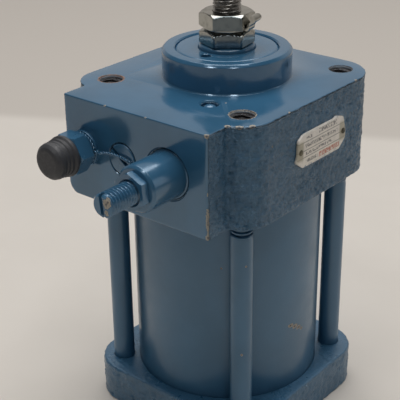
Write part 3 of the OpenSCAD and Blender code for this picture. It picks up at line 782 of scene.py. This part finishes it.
def wall_rows(outline, low, high, step, low_round, high_round, seed, calm=()):
    """Outline rows of a cast block from low to high with rounded edges and a cast surface."""
    levels = [(low + low_round * (1 - math.cos(a)), low_round * (1 - math.sin(a)))
              for a in np.linspace(0, math.pi / 2, 5)]
    count = int((high - low - low_round - high_round) / step)
    levels += [(z, 0) for z in np.linspace(low + low_round, high - high_round, count + 1)[1:-1]]
    levels += [(high - high_round * (1 - math.sin(a)), high_round * (1 - math.cos(a)))
               for a in np.linspace(0, math.pi / 2, 5)]
    rows = []
    for z, inset in levels:
        points, normals, weights = outline(z)
        fade = min(1, (z - low) / 1.2, (high - z) / 1.2)
        row = []
        for (x, y), (nx, ny), weight in zip(points, normals, weights):
            depth = inset
            if weight:
                quiet = 1.0
                for near in calm:
                    quiet *= near(x, y, z)
                depth += weight * (0.3 + 0.7 * max(fade, 0)) * quiet * cast_depth(x, y, z, seed)
            row.append((x - nx * depth, y - ny * depth, z))
        rows.append(np.array(row))
    return rows


def head_row(z):
    """The head's outline at a height: the pad's lower left corner is rounded."""
    below = HEAD_Z + PAD_LOW_R - z
    left = -PAD_HALF
    if below > 0:
        left += PAD_LOW_R - math.sqrt(max(PAD_LOW_R ** 2 - below ** 2, 0))
    return head_outline(left)


def under_plate(x, y, z):
    """Nearly 0 behind the nameplate, so that it sits on the casting."""
    if x < HEAD_HALF - 2:
        return 1.0
    out_y = max(PLATE.low[1] - y, y - PLATE.high[1], 0)
    out_z = max(PLATE.low[2] - z, z - PLATE.high[2], 0)
    return min(1.0, 0.25 + math.hypot(out_y, out_z) / 3)


def port_bore(x, points, sides=64):
    """A lathe shape on the port axis at x."""
    return along_y(turned(points, sides), x)


def tapped_hole(x, y):
    """A cutter for a threaded hole with a broken mouth."""
    low = HEAD_TOP - 16
    rings = [(0, low - 1.2), (3.35, low)]
    rings += thread_rings(M8_R, M8_DEPTH, PITCH, low + 0.4, HEAD_TOP - 0.9, 0.3)
    rings += [(4.02, HEAD_TOP - 0.5), (4.3, HEAD_TOP - 0.05), (4.5, HEAD_TOP + 0.4), (0, HEAD_TOP + 0.4)]
    return moved(loft(rings, 40), x, y)


def build_head():
    """The casting, its turned core and everything that is bored into it."""
    rows = wall_rows(head_row, HEAD_Z, HEAD_TOP, 0.7, 0.6, TOP_ROUND, 0.0, [under_plate])
    piece = make("head_casting", slab(rows))
    core = turned([
        (0, HEAD.low[2]), (SPIGOT_R, HEAD.low[2], 0.5), (SPIGOT_R, HEAD_Z + 8), (20, HEAD_Z + 8),
        (20, HEAD_TOP - 0.8), (BOSS_R + 0.9, HEAD_TOP - 0.3), (BOSS_R + 0.35, HEAD_TOP + 0.06, 0.2),
        (BOSS_R, HEAD_TOP + 0.5, 0.3), (BOSS_R, BOSS_TOP - 1, 0.25), (BOSS_R - 0.95, BOSS_TOP, 0.25),
        (0, BOSS_TOP)], 192)
    combine(piece, core, "UNION")
    gland_seat = GLAND.low[2] - 0.1
    cutters = [
        turned([
            (0, HEAD.low[2] - 1), (6.6, HEAD.low[2] - 1), (6.6, HEAD_Z + 4), (8, HEAD_Z + 4),
            (8, HEAD_Z + 25), (11, HEAD_Z + 25), (11, gland_seat), (GLAND_R + 0.06, gland_seat),
            (GLAND_R + 0.06, BOSS_TOP - 0.45), (GLAND_R + 0.55, BOSS_TOP + 0.05),
            (GLAND_R + 0.55, BOSS_TOP + 1), (0, BOSS_TOP + 1)], 128),
        tube_ring(*TUBE_SEAT, HEAD_Z - 0.5, HEAD_Z + GROOVE, 128),
        tube_ring(*BUMPER_SEAT, HEAD.low[2] - 1, HEAD.low[2] + 1, 64),
        moved(turned([(0, HEAD_TOP - 7), (3, HEAD_TOP - 7), (3, HEAD_TOP - 0.7), (3.8, HEAD_TOP + 0.1),
                      (3.8, HEAD_TOP + 1), (0, HEAD_TOP + 1)], 48), *BALL.middle[:2]),
        along_y(cylinder(4.95, 41, PAD + 1), FITTING_X),
        port_bore(PLUG_X, [(0, 42), (4.85, 42), (4.85, PAD - 1.1), (6.1, PAD - 1.1), (6.1, PAD - 0.15),
                           (6.3, PAD + 0.1), (6.3, PAD + 1), (0, PAD + 1)]),
        port_bore(VALVE_X, [(0, 28), (6, 28), (6, PAD - 3), (8.75, PAD - 3), (8.75, PAD - 0.6),
                            (9.4, PAD + 0.1), (9.4, PAD + 1), (0, PAD + 1)], 96),
    ]
    for x, y in CORNERS:
        cutters.append(tapped_hole(x, y))
        cutters.append(moved(cylinder(TIE_R + 0.05, HEAD_Z - 1, HEAD_Z + 15, 40), x, y))
    combine(piece, merge(*cutters))
    place(piece, paint_head, "housing", "blue_paint_cast", "front_head", angle=38)


# ---------- rear cover and tube ----------

def cover_row(_):
    """Points, normals and cast weights of the rear cover's outline, the same at every height."""
    half, r = COVER_HALF, COVER_R
    c = half - r
    parts = [
        line((-c, -half), (c, -half), (0, -1), 64), arc((c, -c), r, -90, 0, 30),
        line((half, -c), (half, c), (1, 0), 64), arc((c, c), r, 0, 90, 30),
        line((c, half), (-c, half), (0, 1), 64), arc((-c, c), r, 90, 180, 30),
        line((-half, c), (-half, -c), (-1, 0), 64), arc((-c, -c), r, 180, 270, 30),
    ]
    points = np.concatenate([p for p, _ in parts])
    normals = np.concatenate([n for _, n in parts])
    return points, normals, np.ones(len(points))


def build_cover():
    """The cover with its spigot, the rear port and the holes for the tie rods."""
    rows = wall_rows(cover_row, COVER.low[2], COVER_H, 0.8, 0.6, 0.9, 31.0)
    piece = make("rear_cover_casting", slab(rows))
    top = COVER.high[2]
    rear_port_z = 7.5
    combine(piece, turned([(0, 5), (SPIGOT_R, 5), (SPIGOT_R, top, 0.5), (0, top)], 128), "UNION")
    port = turned([(0, 28), (3.6, 28.8), (4.4, 29.5), (4.4, COVER_HALF - 0.7), (5.2, COVER_HALF + 0.1),
                   (5.2, COVER_HALF + 1), (0, COVER_HALF + 1)], 64)
    port_v = np.asarray(port[0])
    cutters = [
        tube_ring(*TUBE_SEAT, COVER_H - GROOVE, COVER_H + 1, 128),
        tube_ring(*BUMPER_SEAT, top - 1, top + 1, 64),
        (np.stack([port_v[:, 0], port_v[:, 2], rear_port_z - port_v[:, 1]], axis=1), port[1]),
    ]
    for x, y in CORNERS:
        cutters.append(moved(turned([(0, -1), (7.2, -1), (7.2, 0), (6.9, 0.3), (6.9, 8), (TIE_R + 0.2, 8),
                                     (TIE_R + 0.2, COVER_H + 1), (0, COVER_H + 1)], 48), x, y))
    combine(piece, merge(*cutters))
    place(piece, paint_cover, "housing", "blue_paint_cast", "rear_cover", angle=38)


def build_tube():
    low, high = TUBE.low[2], TUBE.high[2]
    tube = make("barrel", turned([
        (BORE_R, low), (TUBE_R, low, 0.3), (TUBE_R, (low + high) / 2), (TUBE_R, high, 0.3), (BORE_R, high)],
        192, closed=True))
    paint(tube, paint_tube, "barrel_tube")


# ---------- tie rods ----------

def build_tie_rod(index, x, y):
    """A socket head, a plain shank, a groove with a loose collar under the head, and a thread."""
    low, head_top = TIE.low[2], TIE.low[2] + 5
    neck = TIE_R - 0.9
    rings = [(0, low + 3), (hexagon(5.0), low + 3), (hexagon(5.0), low), (3.4, low)]
    rings += rounded([
        (6.0, low), (6.5, low + 0.5, 0.2), (6.5, head_top, 0.3), (TIE_R, head_top, 0.3), (TIE_R, 40),
        (TIE_R, HEAD_Z - 8.2), (TIE_R - 0.22, HEAD_Z - 6.7), (TIE_R, HEAD_Z - 6.3),
        (TIE_R - 0.2, HEAD_Z - 5.95), (neck, HEAD_Z - 5.85), (neck, HEAD_Z - 5.1),
        (TIE_R - 0.15, HEAD_Z - 5.0), (TIE_R - 0.15, HEAD_Z - 4.7), (TIE_R - 0.35, HEAD_Z - 4.5),
        (neck, HEAD_Z - 4.4), (neck, HEAD_Z + 0.6)])
    rings += thread_rings(TIE_R - 0.05, 0.6, PITCH, HEAD_Z + 1, HEAD_Z + 12, 0.25)
    rings += [(TIE_R - 1, TIE.high[2]), (0, TIE.high[2])]
    piece = make(f"tie_rod_{index}_painted", moved(loft(rings, 48), x, y))
    paint(piece, paint_tie, f"tie_rod_{index}")


# ---------- gland, wiper and the rod ----------

def build_gland():
    """The disc in the boss, with two holes for a pin spanner."""
    lip = WIPER_R + 0.05
    gland = make("gland_ring", turned([
        (6.4, GLAND.low[2]), (GLAND_R, GLAND.low[2]), (GLAND_R, GLAND_TOP - 0.7, 0.5),
        (GLAND_R - 0.9, GLAND_TOP, 0.6), (WIPER_R + 0.45, GLAND_TOP, 0.15),
        (lip, GLAND_TOP - 0.5, 0.1), (lip, WIPER.low[2]), (6.4, WIPER.low[2])], 160, closed=True))
    hole = turned([
        (0, GLAND_TOP - 5), (1.8, GLAND_TOP - 4.2), (1.8, GLAND_TOP - 0.25), (2.1, GLAND_TOP + 0.05),
        (2.1, GLAND_TOP + 1), (0, GLAND_TOP + 1)], 40)
    combine(gland, merge(*[moved(hole, x, y) for x, y in ((1.0, -12.95), (-1.0, 12.95))]))
    paint(gland, paint_gland, "rod_gland")


def build_wiper():
    wiper = make("wiper_lip", turned([
        (6.4, WIPER.low[2]), (WIPER_R, WIPER.low[2]), (WIPER_R, WIPER_TOP - 0.2, 0.9),
        (WIPER_R - 2.4, WIPER_TOP, 0.5), (7.4, WIPER_TOP - 0.1, 0.3), (6.6, WIPER_TOP - 1.1),
        (6.07, WIPER_TOP - 0.3), (6.1, WIPER_TOP - 1.6)], 128, closed=True, steps=5))
    place(wiper, paint_wiper, "housing", "black_rubber", "wiper_ring")


def build_rod():
    """The rod: a stub in the piston, the ground shaft in chrome and the threaded end in steel."""
    rod_r, stub_r = 6.0, 4.6
    piston_top = box_mm("piston").high[2]
    rings = rounded([
        (0, ROD.low[2]), (stub_r - 0.8, ROD.low[2]), (stub_r, ROD.low[2] + 0.8), (stub_r, piston_top),
        (rod_r, piston_top), (rod_r, SHOULDER_Z - 0.5, 0.1), (rod_r - 0.5, SHOULDER_Z), (4.3, SHOULDER_Z)])
    rings += thread_rings(4.98, 0.74, PITCH, SHOULDER_Z + 0.3, ROD.high[2] - 0.9, 0.16)
    rings += [(4.1, ROD.high[2]), (0, ROD.high[2])]
    rod = make("rod_threaded", loft(rings, 96))
    place(rod, thread_steel, "rod", "chrome_rod", "piston_rod")
    rod.data.materials.append(chrome)
    for face in rod.data.polygons:
        face.material_index = 1 if face.center.z < (SHOULDER_Z - 0.1) * MM else 0


def build_nuts():
    """Two jam nuts; only the lower one's top edge is cut deep."""
    for name, box, cuts in (("lower", LOWER_NUT, (0.3, 2.4)), ("upper", UPPER_NUT, (0.5, 1.5))):
        nut = make(f"jam_nut_{name}", hex_nut(NUT_AF, box.low[2], box.high[2], 4.6, NUT_TURN, cuts))
        place(nut, zinc_nuts, "rod", "zinc_steel", f"rod_nut_{name}", angle=24)


def build_tab_washer():
    """A ring between the nuts, with one tab bent up a flat of the upper nut and out into a hook."""
    low, high = LOWER_NUT.high[2], UPPER_NUT.low[2]
    piece = make("tab_washer_bent", turned([
        (5.05, low), (8.0, low, 0.15), (8.0, high, 0.15), (5.05, high)], 96, closed=True))
    thickness = high - low
    side_view = [(7.0, 0), (8.7, 0), (9.3, 0.5), (9.5, 1.7), (10.4, 2.7), (11.5, 3.4), (11.9, 4.2),
                 (11.3, 4.9), (10.2, 4.8)]
    middle = smooth_path([(out, 0, low + thickness / 2 + up) for out, up in side_view], 26)
    path = middle[:, (0, 2)]
    along = np.gradient(path, axis=0)
    along /= np.linalg.norm(along, axis=1)[:, None]
    across = np.stack([-along[:, 1], along[:, 0]], axis=1) * (thickness / 2)
    rows = []
    for i, (p, n) in enumerate(zip(path, across)):
        width = 1.8 if i == len(path) - 1 else 2.3
        outer, inner = p - n, p + n
        rows.append(np.array([(outer[0], -width, outer[1]), (outer[0], width, outer[1]),
                              (inner[0], width, inner[1]), (inner[0], -width, inner[1])]))
    combine(piece, spun(slab(rows), NUT_TURN - 30), "UNION")
    place(piece, zinc_nuts, "rod", "zinc_steel", "tab_washer")


# ---------- pieces on the pad ----------

def build_ball():
    radius = 2.95
    profile = [(radius * math.cos(a), radius * math.sin(a)) for a in np.linspace(-1.4, 1.4, 15)]
    ball = make("passage_ball_painted", moved(
        turned([(0, -radius), *profile, (0, radius)], 48), *BALL.middle))
    paint(ball, paint_small, "passage_ball")


def build_plug():
    """The flush plug, its slot, and the hole that takes the wire's end."""
    plug = make("plug_slotted", port_bore(PLUG_X, [
        (0, 43.5), (3.6, 43.5), (4.8, 44.7), (4.8, PAD - 0.65), (5.6, PAD - 0.65), (5.6, PAD - 0.1, 0.15),
        (5.3, PAD + 0.2, 0.15), (0, PAD + 0.2)]))
    combine(plug, along_y(spun(block(-8, 8, -0.75, 0.75, PAD - 1.2, PAD + 1), -35), PLUG_X))
    combine(plug, along_y(moved(cylinder(0.75, PAD - 3, PAD + 1, 20), WIRE_END), PLUG_X))
    paint(plug, paint_small, "screw_plug")


def build_seal_ring():
    ring = make("fitting_seal", along_y(turned([
        (5, PAD), (6.4, PAD, 0.1), (6.4, PAD + 1, 0.25), (5, PAD + 1)], 72, closed=True), FITTING_X))
    paint(ring, paint_small, "port_seal_ring")


def build_fitting():
    """A neck, a hexagon with both corners cut, and a nipple with a bore."""
    hex_from = PAD + 2.6
    hex_to = hex_from + 6
    flat = hexagon(FITTING_AF)
    corner = FITTING_AF / math.sqrt(3)
    rings = [(0, 41.5), (4.2, 41.5), (4.9, 42.3), (4.9, PAD + 1), (5.2, PAD + 1), (5.2, hex_from)]
    levels = [(hex_from + 0.1 * k, corner - 0.9 + 0.18 * k) for k in range(6)]
    levels += [(hex_to - 0.5 + 0.1 * k, corner - 0.18 * k) for k in range(6)]
    for z, limit in levels:
        rings.append((lambda t, limit=limit: np.minimum(flat(t), limit), z))
    rings += [(4.6, hex_to), (4.0, hex_to + 0.3), (4.0, PAD + 15), (3.2, PAD + 15.8), (2.0, PAD + 15.8),
              (2.0, PAD + 5), (0, PAD + 5)]
    piece = make("fitting_hexagon", along_y(loft(rings, 144), FITTING_X))
    paint(piece, paint_small, "port_fitting", angle=26)


def build_cap():
    """The ribbed cap: a flange, three ribs and a domed end."""
    low = -CAP.high[1]
    cap = make("cap_ribbed", along_y(turned([
        (4.15, low), (6.8, low, 0.3), (7.2, low + 0.5, 0.3), (7.2, low + 1.5, 0.4), (6.5, low + 2.1, 0.25),
        (6.55, low + 3.0, 0.2), (6.8, low + 3.2, 0.15), (6.65, low + 3.5, 0.2), (6.65, PAD + 12.2, 0.15),
        (6.3, PAD + 12.6, 0.15), (6.3, PAD + 13.1, 0.15), (6.6, PAD + 13.5, 0.2), (6.2, PAD + 14, 0.15),
        (6.2, PAD + 14.5, 0.15), (6.5, PAD + 14.9, 0.2), (6.25, CAP_END - 1.4, 0.5),
        (5.3, CAP_END - 0.3, 0.6), (4.2, CAP_END, 0.4), (0, CAP_END), (0, PAD + 16.2),
        (4.15, PAD + 16.2)], 96, closed=True), FITTING_X))
    place(cap, black_plastic, "cap", "black_plastic", "port_cap")


def build_wire():
    """Two strands twisted together: a loop round the fitting's neck, then across into the plug."""
    loop_r = 5.85
    points = []
    for k in range(23):
        a = math.radians(300 - 330 * k / 22)
        points.append((FITTING_X + loop_r * math.cos(a), -51.6, PORT_Z + loop_r * math.sin(a)))
    points += [
        (FITTING_X + 6.7, -51.6, PORT_Z + 0.6), (FITTING_X + 8.3, -51.2, PORT_Z + 0.5),
        (PLUG_X - 7, -50.9, PORT_Z + 1.1), (PLUG_X - 4, -50.95, PORT_Z + 1.5),
        (PLUG_X, -51.0, PORT_Z + 1.4), (PLUG_X + 3, -51.0, PORT_Z + 0.8),
        (PLUG_X + WIRE_END, -50.4, PORT_Z), (PLUG_X + WIRE_END, -49.6, PORT_Z),
        (PLUG_X + WIRE_END, -48.6, PORT_Z)]
    path = smooth_path(points, 360)
    piece = make("lock_wire_twisted", merge(*[
        strand(path, 0.31, 0.29, 2.6, phase) for phase in (0.0, math.pi)]))
    place(piece, paint_wire, "housing", "painted_wire", "lock_wire", angle=60)


# ---------- throttle cartridge ----------

def build_cartridge():
    sleeve = make("cartridge_sleeve", along_y(turned([
        (1.25, 30), (5.3, 30), (5.95, 30.6), (5.95, PAD - 2.98), (8.5, PAD - 2.98), (8.5, PAD - 0.5, 0.25),
        (8, PAD - 0.35), (8, CARTRIDGE_END - 0.9, 0.3), (7.2, CARTRIDGE_END, 0.3), (4.1, CARTRIDGE_END),
        (4.1, 47.2), (3.05, 47.2), (3.05, 32), (1.25, 32)], 128, closed=True), VALVE_X))
    paint(sleeve, paint_worn, "cartridge_body")


def build_screw():
    inner = -SCREW.high[1]
    rings = [(0, inner), (3.4, inner)]
    rings += thread_rings(M8_R, M8_DEPTH, PITCH, inner + 0.4, SCREW_END - 0.7, 0.16)
    rings += [(3.3, SCREW_END), (0, SCREW_END)]
    screw = make("adjuster_slotted", along_y(loft(rings, 72), VALVE_X))
    slot = block(-6, 6, -0.65, 0.65, SCREW_END - 1.6, SCREW_END + 1)
    combine(screw, along_y(spun(slot, -82.6), VALVE_X))
    place(screw, paint_worn, "adjuster", "blue_paint", "adjusting_screw")


def build_lock_nut():
    nut = make("lock_nut_hexagon", along_y(
        hex_nut(LOCK_NUT_AF, -LOCK_NUT.high[1], -LOCK_NUT.low[1], 4.05, -23, (0.5, 0.5)), VALVE_X))
    place(nut, paint_worn, "lock_nut", "blue_paint", "lock_nut", angle=24)


# ---------- nameplate ----------

def build_plate():
    """The plate with its raised middle, and two rivet heads."""
    plate_y, plate_z = 0.5, HEAD_TOP - 15.9
    outline = np.array(rounded(PLATE_OUTLINE, closed=True, steps=4))
    rows = []
    for lift, shrink in ((0, 0.0), (0.45, 0.0), (0.7, 0.012), (PLATE.high[0] - PLATE.low[0], 0.035)):
        flat = outline * (1 - shrink)
        rows.append(np.stack([np.full(len(flat), PLATE.low[0] + lift), flat[:, 0] + plate_y,
                              flat[:, 1] + plate_z], axis=1))
    place(make("nameplate_printed", slab(rows)), label, "housing", "label_aluminium", "nameplate", angle=40)
    v, f = turned([(0, 0), (1.05, 0), (1.05, 0.2, 0.1), (0.8, 0.45, 0.3), (0, 0.55)], 32)
    rivets = [(np.stack([PLATE.high[0] - 0.05 + v[:, 2], plate_y + side * RIVET_AT + v[:, 0],
                         plate_z + v[:, 1]], axis=1), f) for side in (-1, 1)]
    place(make("nameplate_rivet_heads", merge(*rivets)), rivet_metal, "housing", "rivet_aluminium",
          "nameplate_rivets")


build_head()
build_cover()
build_tube()
for number, (corner_x, corner_y) in enumerate(CORNERS, 1):
    build_tie_rod(number, corner_x, corner_y)
for build in (build_gland, build_tab_washer, build_wiper, build_rod, build_nuts, build_ball, build_plug,
              build_seal_ring, build_fitting, build_wire, build_cartridge, build_screw, build_lock_nut,
              build_plate, build_cap):
    build()


# ---------- CAD nodes that keep their shape ----------

KEPT = {
    black_rubber: ["rear_tube_seal", "front_tube_seal", "rear_bumper", "front_bumper", "rod_seal",
                   "gland_o_ring", "cartridge_o_ring", "needle_o_ring", "piston_seal_front",
                   "piston_seal_rear", "rod_o_ring"],
    machined: ["piston"],
    zinc: ["tie_rod_washers", "piston_washer", "piston_nut"],
    bronze: ["rod_bush"],
    brass: ["throttle_needle"],
    ptfe: ["guide_ring"],
}
for kept_material, kept_nodes in KEPT.items():
    for kept in kept_nodes:
        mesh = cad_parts[kept].data
        mesh.materials.clear()
        mesh.materials.append(kept_material)


# ---------- floor, light and camera ----------

def build_floor():
    """A wide grid just under the object."""
    size = 3000.0
    steps = 24
    at = np.linspace(-size, size, steps + 1)
    verts = [(x, y, -0.02) for y in at for x in at]
    n = steps + 1
    faces = [(j * n + i, j * n + i + 1, (j + 1) * n + i + 1, (j + 1) * n + i)
             for j in range(steps) for i in range(steps)]
    floor = make("floor", (verts, faces))
    floor.data.materials.append(floor_material())


LAMP_COLOUR = (1.0, 0.985, 0.965)
LAMPS = {       # place and aim in metres, width of the square lamp, watts
    "overhead": ((-0.15, 0.2, 1.5), (0, 0, 0.05), 1.3, 20.5),
    "side": ((0.75, 0.65, 0.42), (0, 0, 0.06), 0.5, 0.5),
    "front_left": ((-0.025, -0.75, 1.30), (0, 0, 0.1), 0.2, 1.6),
    "front_right": ((0.611, -0.434, 1.30), (0, 0, 0.1), 0.2, 1.6),
}


def build_lamp(name, at, towards, width, watts):
    data = bpy.data.lights.new(name, "AREA")
    data.shape = "RECTANGLE"
    data.size = width
    data.size_y = width
    data.energy = watts
    data.color = LAMP_COLOUR
    lamp = bpy.data.objects.new(name, data)
    lamp.location = at
    lamp.rotation_euler = (Vector(towards) - Vector(at)).to_track_quat("-Z", "Y").to_euler()
    bpy.context.scene.collection.objects.link(lamp)


AWAY = (-0.478, 0.878, 0.0)     # the way the light side of the room lies
DARK_SIDE = (0.35, (0.05, 0.05, 0.055, 1))
LIGHT_SIDE = (0.75, (0.46, 0.43, 0.40, 1))


def build_world():
    """A room that is dark on the near side and light on the far side."""
    world = bpy.data.worlds.new("studio")
    bpy.context.scene.world = world
    world.use_nodes = True
    tree = world.node_tree
    background = tree.nodes["Background"]
    coords = tree.nodes.new("ShaderNodeTexCoord")
    facing = tree.nodes.new("ShaderNodeVectorMath")
    facing.operation = "DOT_PRODUCT"
    facing.inputs[1].default_value = AWAY
    ramp = tree.nodes.new("ShaderNodeValToRGB")
    for element, (position, colour) in zip(ramp.color_ramp.elements, (DARK_SIDE, LIGHT_SIDE)):
        element.position = position
        element.color = colour
    for start, end in ((coords.outputs["Generated"], facing.inputs[0]),
                       (facing.outputs["Value"], ramp.inputs["Fac"]),
                       (ramp.outputs["Color"], background.inputs["Color"])):
        tree.links.new(start, end)


CAMERA_AT = np.array([220.1, -280.8, 249.7])
CAMERA_AIM = np.array([-7.8, -6.5, 80.0])
CAMERA_ROLL = math.radians(-0.74)
CAMERA_LENS = 94.725


def build_camera():
    """A camera in the place from which the object is meant to be seen."""
    back = CAMERA_AT - CAMERA_AIM
    back /= np.linalg.norm(back)
    right = np.cross([0, 0, 1.0], back)
    right /= np.linalg.norm(right)
    up = np.cross(back, right)
    c, s = math.cos(CAMERA_ROLL), math.sin(CAMERA_ROLL)
    right, up = right * c + up * s, up * c - right * s
    data = bpy.data.cameras.new("camera")
    data.lens = CAMERA_LENS
    data.sensor_width = 36.0
    data.clip_start = 0.01
    camera = bpy.data.objects.new("camera", data)
    turn = Matrix((right, up, back)).transposed().to_4x4()
    camera.matrix_world = Matrix.Translation(Vector(CAMERA_AT * MM)) @ turn
    bpy.context.scene.collection.objects.link(camera)
    bpy.context.scene.camera = camera


build_floor()
build_world()
build_camera()
for lamp_name, lamp_values in LAMPS.items():
    build_lamp(lamp_name, *lamp_values)
bpy.context.scene.view_settings.view_transform = "Standard"
